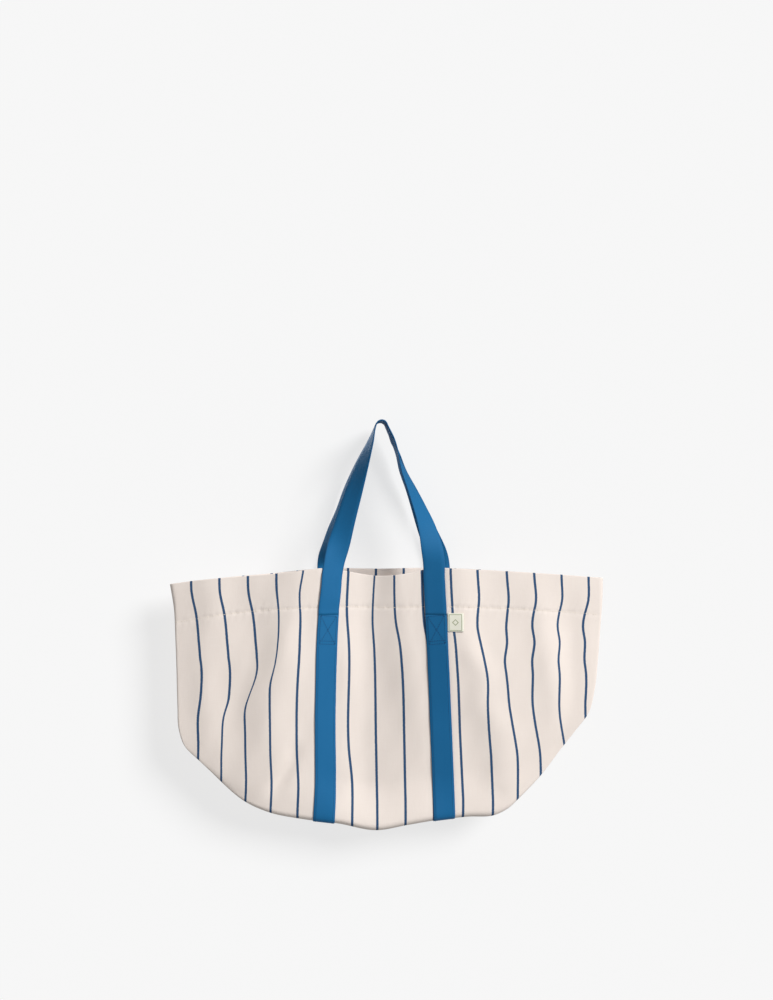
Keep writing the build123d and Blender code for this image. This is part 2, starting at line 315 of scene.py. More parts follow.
def outline_place(s, t, side):
    """x and z of a place on one side of the shell, by blending its four edges."""
    left_top, right_top = np.array(LEFT_EDGE[0]), np.array(RIGHT_EDGE[0])
    left_low, right_low = np.array(LEFT_EDGE[-1]), np.array(RIGHT_EDGE[-1])
    top_x = left_top[0] + (right_top[0] - left_top[0]) * s
    top = np.stack([top_x, rim_z(side, top_x)], -1)
    bottom = along(BOTTOM_EDGE, s)
    left = along(LEFT_EDGE, t)
    right = along(RIGHT_EDGE, t)
    s = s[..., None]
    t = t[..., None]
    corners = (1 - s) * ((1 - t) * left_top + t * left_low) + s * ((1 - t) * right_top + t * right_low)
    place = (1 - t) * top + t * bottom + (1 - s) * left + s * right - corners
    return place[..., 0], place[..., 1]


def gather_shift(side, u, z):
    """How far the gathers move a place of the flat cloth, u, across the bag."""
    shift = np.zeros_like(u)
    for hand, width, rows in GATHERS[side]:
        centre, taken = at_height(rows, z)
        share = ramp((u - centre) / width + 0.5)
        shift += taken * (1 - share) if hand == LEFT else -taken * share
    return shift


def flat_place(side, x, z):
    """Place across the flat cloth that has come to x."""
    u = x.copy()
    for _ in range(14):
        u = x - gather_shift(side, u, z)
    return u


def relief(side, x, z):
    height = np.zeros_like(x)
    for rows in SLOPES[side]:
        centre, rise, width = at_height(rows, z)
        height += rise * ramp((x - centre) / width + 0.5)
    for rows in BUMPS[side]:
        centre, rise, half_width = at_height(rows, z)
        height += rise * np.exp(-((x - centre) / half_width) ** 2)
    return height


def undulation(side, x, z):
    """Small uneven swells of heavy cotton, under 1 mm."""
    swell = np.sin(x * 61 + z * 9 + side) * np.sin(z * 23 + x * 14 + 1.7)
    swell += 0.6 * np.sin(x * 103 - z * 31 + 2.1 * side) * np.sin(z * 41 - x * 37 + 0.4)
    return 0.0007 * swell


def half_depth(side, s, t, x, z):
    """Distance of the shell from the bag's middle plane."""
    from_side = (1 - np.abs(2 * s - 1)) * BODY_WIDTH / 2
    from_fold = (1 - t) * BODY_HEIGHT
    closed = ramp((rim_z(side, x) - z) / MOUTH_REACH)
    edge = EDGE_DEPTH + (MOUTH_EDGE_DEPTH - EDGE_DEPTH) * (1 - closed)
    inward = np.clip(from_side / TAPER, 0, 1)
    across = inward * (1.25 - 0.25 * inward ** 4)
    round_turn, long_rise = 0.013, 0.56
    down = 0.5 * quarter_round(from_fold / round_turn) + ramp(0.5 + from_fold / long_rise) - 0.5
    depth = edge * quarter_round(from_side / edge) * quarter_round(from_fold / edge)
    depth += (SHELL_DEPTH - edge) * across * down
    fade = ramp(from_side / 0.06) * ramp(from_fold / 0.09)
    return depth + fade * (relief(side, x, z) + undulation(side, x, z))


def hem_z(x):
    """Height of the hem's stitch line, which stays level where the front rim sags."""
    line = np.asarray(HEM_LINE)
    return through(line[:, 0], line[:, 1], x)


def hem_seam_dip(u, x, z):
    """The hem's stitch line pulls the cloth in, and puckers it from stitch to stitch."""
    from_seam = hem_z(x) - z
    pucker = 1 + 0.5 * np.sin(u * 620) + 0.35 * np.sin(u * 287 + 1.0)
    line = 0.0007 * np.exp(-(from_seam / 0.0028) ** 2)
    lean = np.sin((u + 0.45 * from_seam) * 530 + 2 * np.sin(u * 41))
    puckers = 0.00025 * lean * np.exp(-(from_seam / 0.012) ** 2)
    return line * pucker + puckers


def shell(s, w):
    """Points of the cloth's outside. w past 1 is the rear."""
    s, w = np.broadcast_arrays(np.asarray(s, float), np.asarray(w, float))
    points = np.empty(s.shape + (3,))
    for side in SIDE_NAMES:
        here = w <= 1 if side == FRONT else w > 1
        if not here.any():
            continue
        s_here = s[here]
        t = w[here] if side == FRONT else 2 - w[here]
        x, z = outline_place(s_here, t, side)
        depth = half_depth(side, s_here, t, x, z)
        depth -= hem_seam_dip(flat_place(side, x, z), x, z) * ramp(depth / 0.01)
        points[here] = np.stack([x, middle_y(x) + side * depth, z], -1)
    return points


def middle_y(x):
    """Where the front and the rear would meet, which leans forward towards the side folds."""
    forward = np.where(np.asarray(x) < 0, FOLD_FORWARD[LEFT], FOLD_FORWARD[RIGHT])
    return -forward * ramp((np.abs(x) - 0.08) / 0.27)


def shell_normals(s, w):
    """Outward normals of the shell."""
    step_s, step_w = 0.0008, 0.0012
    across = shell(np.clip(s + step_s, 0, 1), w) - shell(np.clip(s - step_s, 0, 1), w)
    down = shell(s, np.clip(w + step_w, 0, 2)) - shell(s, np.clip(w - step_w, 0, 2))
    normal = np.cross(down, across)
    normal /= np.maximum(np.linalg.norm(normal, axis=-1, keepdims=True), 1e-12)
    return normal


def cloth_coordinates(points, w):
    """Place on the flat cloth: across, and down from the rim."""
    coordinates = np.zeros_like(points)
    for side in SIDE_NAMES:
        here = w <= 1 if side == FRONT else w > 1
        x, z = points[here][:, 0], points[here][:, 2]
        coordinates[here, 0] = flat_place(side, x, z)
        coordinates[here, 1] = rim_z(side, x) - z
    return coordinates


# ---- Sewn straps: places on them, and on the shell by x and z ----

STRAP_LINES = {
    (FRONT, LEFT): [(-0.228, -0.079), (-0.293, -0.085), (-0.45, -0.0905), (-0.604, -0.091), (-0.64, -0.093)],
    (FRONT, RIGHT): [(-0.228, 0.083), (-0.293, 0.086), (-0.45, 0.0936), (-0.604, 0.1005), (-0.64, 0.1015)],
    (REAR, LEFT): [(-0.228, -0.085), (-0.45, -0.093), (-0.64, -0.093)],
    (REAR, RIGHT): [(-0.228, 0.099), (-0.45, 0.101), (-0.64, 0.1015)],
}


def strap_x(side, hand, z):
    line = np.asarray(STRAP_LINES[side, hand])
    return through(-line[:, 0], line[:, 1], -np.asarray(z))


def on_strap(w, side, hand):
    """s of the strap's centre line on the rows w."""
    w = np.asarray(w, float)
    t = w if side == FRONT else 2 - w
    s = np.full(w.shape, 0.5)
    for _ in range(10):
        x, z = outline_place(s, t, side)
        s = np.clip(s - (x - strap_x(side, hand, z)) / BODY_WIDTH, 0, 1)
    return s


def place_at(side, x, z):
    """(s, w) of the shell's place with a given x and z, away from its edges."""
    x, z = np.broadcast_arrays(np.asarray(x, float), np.asarray(z, float))
    s = x / BODY_WIDTH + 0.5
    t = (rim_z(side, x) - z) / BODY_HEIGHT
    for _ in range(14):
        here_x, here_z = outline_place(s, t, side)
        s = np.clip(s - (here_x - x) / BODY_WIDTH, 0, 1)
        t = np.clip(t + (here_z - z) / BODY_HEIGHT, 0, 1)
    return s, (t if side == FRONT else 2 - t)


def on_shell(side, x, z, lift):
    """Points above the shell at given x and z, and the normals there."""
    s, w = place_at(side, x, z)
    normals = shell_normals(s, w)
    return shell(s, w) + normals * lift, normals


# ---- Meshes ----

def make_mesh(name, vertices, faces, cloth=None):
    mesh = bpy.data.meshes.new(name)
    mesh.from_pydata([tuple(v) for v in vertices], [], [tuple(int(i) for i in f) for f in faces])
    if cloth is not None:
        attribute = mesh.attributes.new("cloth", "FLOAT_VECTOR", "POINT")
        attribute.data.foreach_set("vector", np.asarray(cloth, np.float32).ravel())
    mesh.polygons.foreach_set("use_smooth", [True] * len(mesh.polygons))
    mesh.update()
    piece = bpy.data.objects.new(name, mesh)
    bpy.context.scene.collection.objects.link(piece)
    return piece


def grid_faces(rows, columns, wrap=False, first=0):
    """Quads of a grid of vertices, whose last column joins the first where it wraps."""
    faces = []
    last = columns if wrap else columns - 1
    for r in range(rows - 1):
        for c in range(last):
            n = (c + 1) % columns
            a = first + r * columns
            b = a + columns
            faces.append((a + c, b + c, b + n, a + n))
    return faces


def add_thickness(piece, thickness, offset):
    """Gives a sheet its thickness, as a part of its mesh."""
    solid = piece.modifiers.new("ply", "SOLIDIFY")
    solid.thickness = thickness
    solid.offset = offset
    graph = bpy.context.evaluated_depsgraph_get()
    mesh = bpy.data.meshes.new_from_object(piece.evaluated_get(graph))
    old = piece.data
    piece.modifiers.clear()
    piece.data = mesh
    mesh.name = old.name
    bpy.data.meshes.remove(old)


def ribbon(name, centres, across, normals):
    """A closed strip of webbing with rounded selvedges along stations of centre, across and normal."""
    half = WEBBING_WIDTH / 2
    bulge = WEBBING_THICK / 2
    flat = half - bulge * 0.9
    shoulder = half - bulge * 0.2
    section = [(-flat, 1.0), (-half * 0.6, 1.0), (0.0, 1.0), (half * 0.6, 1.0),
               (flat, 1.0), (shoulder, 0.62), (half, 0.0), (shoulder, -0.62)]
    section += [(-a, -b) for a, b in section]
    vertices, cloth = [], []
    for centre, wide, up, run in zip(centres, across, normals, run_along(centres)):
        for a, b in section:
            vertices.append(centre + wide * a + up * (b * bulge))
            cloth.append((a, run, b))
    count = len(section)
    faces = grid_faces(len(centres), count, wrap=True)
    faces.append(range(count))
    faces.append(range(len(vertices) - 1, len(vertices) - 1 - count, -1))
    return make_mesh(name, vertices, faces, cloth)


def stitches(name, rows, length, radius):
    """Short raised thread segments: rows are (points, normals) along which stitches are laid."""
    vertices, faces = [], []
    ring = [(cos(k * pi / 3), sin(k * pi / 3)) for k in range(6)]
    for points, normals in rows:
        runs = run_along(points)
        count = max(1, int(runs[-1] / (length * STITCH_SPACING)))
        middles = (np.arange(count) + 0.5) * runs[-1] / count
        for middle in middles:
            spine = at_run([middle - length / 2, middle, middle + length / 2], runs, points)
            up = at_run(middle, runs, normals)
            wide = np.cross(unit(spine[2] - spine[0]), up)
            first = len(vertices)
            for place, swell, rise in zip(spine, (0.45, 1.0, 0.45), (-0.5, 0.25, -0.5)):
                for a, b in ring:
                    vertices.append(place + (wide * a + up * b) * radius * swell + up * rise * radius)
            faces += grid_faces(3, 6, wrap=True, first=first)
            faces.append(tuple(first + k for k in range(6)))
            faces.append(tuple(first + 12 + k for k in reversed(range(6))))
    return make_mesh(name, vertices, faces)


# ---- Canvas body ----

FINE_STEPS = [0.0, 0.0002, 0.0008, 0.0017, 0.0030, 0.0048, 0.0074]  # from an edge of the cloth


def edge_steps(length, step, fine):
    """Shares from 0 to 1 with fine steps at both ends."""
    inner = np.linspace(fine[-1], length - fine[-1], round((length - 2 * fine[-1]) / step) + 1)[1:-1]
    return np.concatenate([fine, inner, length - np.array(fine)[::-1]]) / length


def body_rows():
    """Rows as shares of the way from the rim to the fold, closer together about the hem's stitches."""
    height = 0.404
    shares = edge_steps(height, 0.0042, FINE_STEPS)
    hem_rows = np.arange(0.046, 0.070, 0.0018) / height
    outside_hem = (shares < 0.043 / height) | (shares > 0.071 / height)
    shares = shares[outside_hem & (shares > 0.004)]
    return np.unique(np.concatenate([shares, [0.0, 0.0025, 0.0060], hem_rows]))


def level(normals):
    """The same normals without their rise."""
    return unit(normals * [1, 1, 0])


def canvas_body():
    """The front, the rear and the turned-in hem as one mesh, in rows of one ring of columns.

    A row runs along the front from left to right, then along the rear from right to left.
    """
    s_values = edge_steps(BODY_WIDTH, 0.0032, FINE_STEPS)
    ring_s = np.concatenate([s_values, s_values[-2:0:-1]])
    count = len(ring_s)
    front = np.arange(count) < len(s_values)
    rows, cloths = [], []

    # The turned-in hem, from its lower edge up to the roll at the rim.
    top_w = np.where(front, 0.0, 2.0)
    top = shell(ring_s, top_w)
    room = 0.7 + 0.3 * ramp(np.abs(top[:, 1] - middle_y(top[:, 0])) / 0.006)
    inset = HEM_GAP * room[:, None]
    for t in (0.150, 0.135, 0.115, 0.095, 0.075, 0.055, 0.035, 0.018, 0.007):
        w = np.where(front, t, 2 - t)
        points = shell(ring_s, w)
        rows.append(points - level(shell_normals(ring_s, w)) * inset)
        cloths.append(cloth_coordinates(points, w))
    outwards = level(shell_normals(ring_s, np.where(front, 0.003, 1.997)))
    roll_cloth = cloth_coordinates(top, top_w)
    roll_cloth[:, 1] = 0.0
    for angle in (radians(a) for a in (180, 150, 120, 90, 60, 30)):
        roll = top - outwards * inset * (1 - cos(angle)) / 2
        roll[:, 2] = top[:, 2] - HEM_GAP / 2 * (1 - sin(angle))
        rows.append(roll)
        cloths.append(roll_cloth)

    # The outside, down to the row above the fold.
    roll_end = 0.006
    for t in body_rows()[:-1]:
        w = np.where(front, t, 2 - t)
        points = shell(ring_s, w)
        if t < roll_end:
            points[:, 2] -= HEM_GAP / 2 * (1 - t / roll_end)
        rows.append(points)
        cloths.append(cloth_coordinates(points, w))
    faces = grid_faces(len(rows), count, wrap=True)
    start = len(rows) * count
    last = start - count

    # The bottom fold is one row that the front and the rear share.
    fold_w = np.ones_like(s_values)
    fold = shell(s_values, fold_w)
    rows.append(fold)
    cloths.append(cloth_coordinates(fold, fold_w))
    partner = np.concatenate([np.arange(len(s_values)), np.arange(len(s_values) - 2, 0, -1)])
    for c in range(count):
        n = (c + 1) % count
        faces.append((last + c, start + partner[c], start + partner[n], last + n))
    piece = make_mesh("canvas_body", np.concatenate(rows), faces, np.concatenate(cloths))
    add_thickness(piece, CLOTH_THICK, -1)
    return piece


# ---- Webbing ----

def strap_frame(side, hand, w):
    """Centre, across and normal of the sewn webbing's middle, on the rows w."""
    s = on_strap(w, side, hand)
    reach = 0.013 / 0.70
    step = 0.006
    left = shell(s - reach, w)
    right = shell(s + reach, w)
    below = shell(s, np.clip(w + step, 0, 2)) - shell(s, np.clip(w - step, 0, 2))
    across = unit(right - left)
    normal = unit(np.cross(below, across))
    middle = shell(s, w)
    hump = np.maximum(0.0, np.sum((middle - (left + right) / 2) * normal, axis=1))
    base = (left + right) / 2 + normal * (hump + CLEARANCE + WEBBING_THICK / 2)[:, None]
    return base, across, normal


def strap_rows(hand):
    """Rows of the continuous webbing: front box stitch, down, under the fold and up the rear."""
    top, rear_top = (float(place_at(side, strap_x(side, hand, STRAP_TOP_Z), STRAP_TOP_Z)[1])
                     for side in SIDE_NAMES)
    turn = 0.025
    down = np.linspace(top, 1 - turn, 74)
    under = np.linspace(1 - turn, 1 + turn, 15)[1:-1]
    up = np.linspace(1 + turn, rear_top, 74)
    return np.concatenate([down, under, up])


@cache
def strap_surface(hand):
    """Stations of the whole strap, smoothed where it turns under the bottom fold."""
    w = strap_rows(hand)
    in_front = w <= 1
    frames = [strap_frame(FRONT, hand, w[in_front]), strap_frame(REAR, hand, w[~in_front])]
    centre, across, normal = (np.concatenate([f, r]) for f, r in zip(*frames))
    for _ in range(2):
        for values in (centre, normal, across):
            values[1:-1] = values[1:-1] * 0.5 + (values[:-2] + values[2:]) * 0.25
    return centre, across, square_to(across, normal)


# ---- Handles ----

# The middle of each leg from the rim up to the peg, as x and z. The first place is still on the cloth.
LEGS = {
    (FRONT, LEFT): [
        (-0.08, -0.243), (-0.0768, -0.222), (-0.0625, -0.167), (-0.0437, -0.102), (-0.0255, -0.047),
        (-0.0181, -0.027),
    ],
    (FRONT, RIGHT): [
        (0.083, -0.243), (0.083, -0.222), (0.0737, -0.167), (0.0488, -0.102), (0.0348, -0.069),
        (0.0266, -0.043), (0.0188, -0.024),
    ],
    (REAR, LEFT): [
        (-0.085, -0.233), (-0.0885, -0.212), (-0.0868, -0.199), (-0.0778, -0.167), (-0.0648, -0.134),
        (-0.0541, -0.102), (-0.031, -0.047), (-0.021, -0.027),
    ],
    (REAR, RIGHT): [
        (0.099, -0.243), (0.0975, -0.222), (0.0775, -0.167), (0.0514, -0.102), (0.0365, -0.069),
        (0.0285, -0.043), (0.0207, -0.024),
    ],
}
# Turn of each leg's face, in degrees, at heights z: 0 is edge-on from the front and 90 is flat to it.
TWISTS = {
    (FRONT, LEFT): [
        (0.0, 0), (-0.024, 12), (-0.045, 25), (-0.069, 38), (-0.102, 50), (-0.134, 60), (-0.167, 70),
        (-0.199, 79), (-0.222, 86),
    ],
    (FRONT, RIGHT): [
        (0.0, -9), (-0.024, -9), (-0.045, 1), (-0.069, 13), (-0.102, 26), (-0.134, 43), (-0.167, 60),
        (-0.199, 76), (-0.222, 86),
    ],
    (REAR, LEFT): [(0.0, 0), (-0.047, 10), (-0.102, 19), (-0.167, 26), (-0.199, 34), (-0.212, 46)],
    (REAR, RIGHT): [(0.0, 0), (-0.047, 8), (-0.102, 28), (-0.167, 60), (-0.222, 84)],
}
# The side that each leg's face looks to where it is turned.
FACES = {(FRONT, LEFT): LEFT, (FRONT, RIGHT): RIGHT, (REAR, LEFT): LEFT, (REAR, RIGHT): LEFT}
FLAT_AT_RIM = 80            # a leg turned further than this at the rim lies flat on the cloth there
HEM_TOUCH_Z = -0.250        # the legs stand off the cloth above this height as they do at it
SEWN_LIFT = 0.0012          # of the free webbing off the hem below the rim
RIM_LIFT = 0.0016           # and where it leaves the cloth


def turned(side, hand, angle):
    """Direction across a leg whose face is turned by an angle."""
    return np.array([FACES[side, hand] * sin(angle), cos(angle), 0.0])


def lifted(side, x, z, lift):
    """One point above the shell, and the normal there."""
    points, normals = on_shell(side, np.array([x]), np.array([z]), WEBBING_THICK / 2 + lift)
    return points[0], normals[0]


def sewn_stations(side, hand):
    """Stations of the free webbing from the box stitch up to the rim, over the hem."""
    centre, across, normal = strap_surface(hand)
    end = 0 if side == FRONT else -1
    sewn, wide = centre[end], across[end]
    stations = [(sewn + [0, 0, -0.0016], wide), (sewn + [0, 0, 0.0060] + normal[end] * CLEARANCE, wide)]
    for z in (-0.275, -0.252):
        point, up = lifted(side, float(strap_x(side, hand, z)), z, SEWN_LIFT)
        stations.append((point, square_to(up, wide)))
    return stations


def leg_stations(side, hand):
    """Control stations of one leg, from its box stitch to just below the peg."""
    stations = sewn_stations(side, hand)
    turns = np.asarray(TWISTS[side, hand], float)
    peg_y = side * LOOP_MIDDLE_Y
    flat = stations[-1][1]
    rim_places, free_places = LEGS[side, hand][:2], LEGS[side, hand][2:]
    for x, z in rim_places:
        rim_y = lifted(side, x, min(z, HEM_TOUCH_Z), RIM_LIFT)[0][1]
        stations.append((np.array([x, rim_y, z]), flat))

    # The leg turns as it leaves the rim: a flat one just clears the cloth with its inner edge.
    rim_turn = radians(turns[-1, 1])
    leave_x, leave_z = rim_places[-1]
    if turns[-1, 1] < FLAT_AT_RIM:
        stations[-1] = (stations[-1][0], turned(side, hand, rim_turn))
    else:
        rim_y += side * (0.5 * WEBBING_WIDTH * cos(rim_turn) - 0.0020)
        stations[-1] = (np.array([leave_x, rim_y, leave_z]), flat)
    for x, z in free_places:
        y = peg_y + (rim_y - peg_y) * (z / leave_z) ** 1.15
        angle = radians(through(-turns[:, 0], turns[:, 1], -z))
        stations.append((np.array([x, y, z]), turned(side, hand, angle)))
    return stations


def oriented(stations):
    """The same stations, with across directions that never flip, starting front to back."""
    result = []
    reference = np.array([0.0, 1.0, 0.0])
    for place, wide in stations:
        if np.dot(wide, reference) < 0:
            wide = -wide
        reference = wide
        result.append((place, wide))
    return result


def handle(side):
    """One handle: free webbing from box stitch to box stitch, twisted from flat to edge-on at the peg."""
    loop = []
    for angle in (radians(a) for a in range(165, 10, -15)):
        height = LOOP_RADIUS * sin(angle) + LOOP_LIFT
        place = np.array([LOOP_RADIUS * cos(angle), side * LOOP_MIDDLE_Y, height])
        loop.append((place, np.array([0.0, cos(LOOP_PITCH), -sin(LOOP_PITCH)])))
    crown = len(loop) // 2
    left_part = oriented(loop[:crown + 1][::-1] + leg_stations(side, LEFT)[::-1])
    right_part = oriented(loop[crown:] + leg_stations(side, RIGHT)[::-1])
    route = left_part[::-1] + right_part[1:]
    places = np.array([place for place, _ in route])
    wides = np.array([wide for _, wide in route])

    # Sections along the route, closer together round the peg.
    knots = run_along(places)
    at = np.linspace(0, knots[-1], round(knots[-1] / 0.0045) + 1)
    near_peg = knots[np.abs(places[:, 2]) < 0.012]
    at = np.sort(np.concatenate([at, np.linspace(near_peg[0] - 0.012, near_peg[-1] + 0.012, 26)]))
    at = at[np.concatenate([[True], np.diff(at) > 0.0008])]
    centres = through(knots, places, at)
    across = through(knots, wides, at)
    heading = unit(np.gradient(centres, at, axis=0))
    across = square_to(heading, across)
    return ribbon(f"{SIDE_NAMES[side]}_handle", centres, across, np.cross(heading, across))


# ---- Materials ----

def shader(name, roughness, sheen=0.0):
    material = bpy.data.materials.new(name)
    material.use_nodes = True
    nodes = material.node_tree.nodes
    surface = nodes["Principled BSDF"]
    surface.inputs["Roughness"].default_value = roughness
    surface.inputs["Specular IOR Level"].default_value = 0.25
    surface.inputs["Sheen Weight"].default_value = sheen
    surface.inputs["Sheen Roughness"].default_value = 0.5
    return material, Recipe(material.node_tree), surface


def srgb(red, green, blue):
    """Linear colour of an 8-bit sRGB one."""
    return tuple(c / 12.92 if c <= 0.04045 else ((c + 0.055) / 1.055) ** 2.4
                 for c in (red / 255, green / 255, blue / 255)) + (1.0,)


class Recipe:
    """Short ways to add and link shader nodes."""

    def __init__(self, tree):
        self.tree = tree

    def add(self, kind, **settings):
        node = self.tree.nodes.new(kind)
        for key, value in settings.items():
            setattr(node, key, value)
        return node

    def feed(self, node, socket, value):
        if hasattr(value, "is_output"):
            self.tree.links.new(value, node.inputs[socket])
        else:
            node.inputs[socket].default_value = value

    def maths(self, operation, *values):
        node = self.add("ShaderNodeMath", operation=operation)
        for i, value in enumerate(values):
            self.feed(node, i, value)
        return node.outputs[0]

    def line_at(self, distance, place, half_width):
        off = self.maths("ABSOLUTE", self.maths("SUBTRACT", distance, place))
        return self.maths("LESS_THAN", off, half_width)

    def mix(self, share, first, second):
        node = self.add("ShaderNodeMix", data_type="RGBA")
        self.feed(node, 0, share)
        self.feed(node, 6, first)
        self.feed(node, 7, second)
        return node.outputs[2]

    def noise(self, vector, scale, detail=3.0):
        node = self.add("ShaderNodeTexNoise")
        self.feed(node, "Vector", vector)
        node.inputs["Scale"].default_value = scale
        node.inputs["Detail"].default_value = detail
        return node.outputs["Fac"]

    def stretched(self, vector, x, y, z=1.0):
        node = self.add("ShaderNodeVectorMath", operation="MULTIPLY")
        self.feed(node, 0, vector)
        node.inputs[1].default_value = (x, y, z)
        return node.outputs[0]

    def smooth_step(self, value, low, high):
        node = self.add("ShaderNodeMapRange", interpolation_type="SMOOTHSTEP")
        self.feed(node, "Value", value)
        node.inputs["From Min"].default_value = low
        node.inputs["From Max"].default_value = high
        return node.outputs[0]

    def bump(self, height, strength, distance):
        node = self.add("ShaderNodeBump")
        node.inputs["Strength"].default_value = strength
        node.inputs["Distance"].default_value = distance
        self.feed(node, "Height", height)
        return node.outputs["Normal"]

    def cloth(self):
        node = self.add("ShaderNodeAttribute", attribute_name="cloth")
        split = self.add("ShaderNodeSeparateXYZ")
        self.tree.links.new(node.outputs["Vector"], split.inputs[0])
        return node.outputs["Vector"], split.outputs


def plain_weave(recipe, across, down, pitch):
    """Height of a plain weave: warp and weft threads that take turns on top."""
    u = recipe.maths("MULTIPLY", across, pi / pitch)
    v = recipe.maths("MULTIPLY", down, pi / pitch)
    over = recipe.maths("MULTIPLY", recipe.maths("SINE", u), recipe.maths("SINE", v))
    warp = recipe.maths("ABSOLUTE", recipe.maths("SINE", u))
    weft = recipe.maths("ABSOLUTE", recipe.maths("SINE", v))
    top = recipe.maths("GREATER_THAN", over, 0.0)
    under = recipe.maths("SUBTRACT", 1.0, top)
    return recipe.maths("ADD", recipe.maths("MULTIPLY", top, warp), recipe.maths("MULTIPLY", under, weft))


def canvas_material():
    material, recipe, surface = shader("canvas", 0.9)
    vector, (across, down, _) = recipe.cloth()
    slub_down = recipe.noise(recipe.stretched(vector, 900, 35), 1.0, 2.0)
    slub_across = recipe.noise(recipe.stretched(vector, 35, 900), 1.0, 2.0)
    patches = recipe.noise(vector, 14.0, 3.0)
    ground = recipe.mix(slub_down, srgb(240, 228, 219), srgb(245, 236, 229))
    ground = recipe.mix(recipe.maths("MULTIPLY", slub_across, 0.45), ground, srgb(236, 223, 213))
    ground = recipe.mix(recipe.maths("MULTIPLY", patches, 0.25), ground, srgb(238, 225, 216))

    # Stripes woven in, with slightly ragged sides.
    ragged = recipe.noise(recipe.stretched(vector, 60, 700), 1.0, 2.0)
    ragged = recipe.maths("MULTIPLY", recipe.maths("SUBTRACT", ragged, 0.5), 0.0008)
    place = recipe.maths("ADD", recipe.maths("ADD", across, ragged), STRIPE_PITCH * 20.5 - STRIPE_OFFSET)
    phase = recipe.maths("SUBTRACT", recipe.maths("FRACT", recipe.maths("DIVIDE", place, STRIPE_PITCH)), 0.5)
    from_stripe = recipe.maths("MULTIPLY", recipe.maths("ABSOLUTE", phase), STRIPE_PITCH)
    stripe = recipe.smooth_step(from_stripe, STRIPE_WIDTH / 2 + 0.0003, STRIPE_WIDTH / 2 - 0.0003)
    dyed = recipe.mix(slub_across, srgb(38, 70, 108), srgb(60, 92, 128))
    colour = recipe.mix(stripe, ground, dyed)
    recipe.feed(surface, "Base Color", colour)

    weave = plain_weave(recipe, across, down, 0.0011)
    slubs = recipe.maths("ADD", slub_down, slub_across)
    height = recipe.maths("ADD", weave, recipe.maths("MULTIPLY", slubs, 1.2))
    recipe.feed(surface, "Normal", recipe.bump(height, 0.35, 0.00025))
    return material


def webbing_material():
    material, recipe, surface = shader("webbing", 0.68)
    vector, (across, run, face) = recipe.cloth()
    fleck = recipe.noise(recipe.stretched(vector, 1500, 500, 0), 1.0, 2.0)
    fade = recipe.noise(recipe.stretched(vector, 30, 12, 0), 1.0, 2.0)
    colour = recipe.mix(fleck, srgb(8, 95, 146), srgb(24, 119, 173))
    colour = recipe.mix(recipe.maths("MULTIPLY", fade, 0.3), colour, srgb(18, 100, 150))
    # Ribs across the webbing, stepped into a fine twill, painted shade in the grooves between the ribs, and
    # a denser selvedge.
    lean = recipe.maths("ADD", run, recipe.maths("MULTIPLY", recipe.maths("ABSOLUTE", across), 0.6))
    ribs = recipe.maths("ABSOLUTE", recipe.maths("SINE", recipe.maths("MULTIPLY", lean, pi / 0.0016)))
    cords = recipe.maths("ABSOLUTE", recipe.maths("SINE", recipe.maths("MULTIPLY", across, pi / 0.0013)))
    height = recipe.maths("MULTIPLY", ribs, recipe.maths("ADD", recipe.maths("MULTIPLY", cords, 0.6), 0.4))
    # Painted shade: the webbing is painted darker where its weave sinks into the grooves.
    groove_shade = recipe.maths("MULTIPLY", recipe.maths("SUBTRACT", 1.0, height), 0.35)
    colour = recipe.mix(groove_shade, colour, srgb(12, 66, 112))
    edge = recipe.smooth_step(recipe.maths("ABSOLUTE", across), 0.0150, 0.0172)
    colour = recipe.mix(recipe.maths("MULTIPLY", edge, 0.35), colour, srgb(14, 76, 124))
    recipe.feed(surface, "Base Color", colour)
    recipe.feed(surface, "Normal", recipe.bump(height, 0.5, 0.0003))
    return material


def thread_material(name, light, dark):
    material, recipe, surface = shader(name, 0.6)
    place = recipe.add("ShaderNodeTexCoord").outputs["Object"]
    ply = recipe.noise(place, 1800.0, 2.0)
    recipe.feed(surface, "Base Color", recipe.mix(ply, light, dark))
    recipe.feed(surface, "Normal", recipe.bump(ply, 0.4, 0.0002))
    return material


def label_material():
    """Woven satin label with a plain border line and a small lozenge: no mark and no lettering."""
    material, recipe, surface = shader("label", 0.5, sheen=0.1)
    vector, (across, down, _) = recipe.cloth()
    thread = recipe.noise(recipe.stretched(vector, 300, 3000, 0), 1.0, 2.0)
    ground = recipe.mix(thread, srgb(232, 231, 214), srgb(243, 242, 228))
    near_side = recipe.maths("SUBTRACT", 0.012, recipe.maths("ABSOLUTE", across))
    near_end = recipe.maths("SUBTRACT", 0.0147, recipe.maths("ABSOLUTE", down))
    inset = recipe.maths("MINIMUM", near_side, near_end)
    border = recipe.line_at(inset, 0.0022, 0.0005)
    reach = recipe.maths("ADD", recipe.maths("ABSOLUTE", across), recipe.maths("ABSOLUTE", down))
    lozenge = recipe.line_at(reach, 0.0045, 0.0009)
    marks = recipe.maths("MAXIMUM", border, lozenge)
    recipe.feed(surface, "Base Color", recipe.mix(marks, ground, srgb(166, 172, 140)))
    recipe.feed(surface, "Normal", recipe.bump(thread, 0.3, 0.0002))
    return material


CANVAS = canvas_material()
WEBBING = webbing_material()
BLUE_THREAD = thread_material("webbing_thread", srgb(8, 54, 94), srgb(14, 72, 116))
CREAM_THREAD = thread_material("canvas_thread", srgb(244, 236, 222), srgb(226, 214, 198))
LABEL = label_material()


# ---- Stitch rows on the straps ----

def strap_face(hand):
    """Stations on a strap's outer face: run, middle, across and normal."""
    centre, across, normal = strap_surface(hand)
    face = centre + normal * (WEBBING_THICK / 2)
    return run_along(face), face, across, normal


def long_rows(hand):
    """The rows down both edges of a strap, from under the front box to under the rear one."""
    runs, face, across, normal = strap_face(hand)
    keep = (runs > 0.050) & (runs < runs[-1] - 0.050)
    return [((face + across * edge * 0.0138)[keep], normal[keep]) for edge in (-1, 1)]


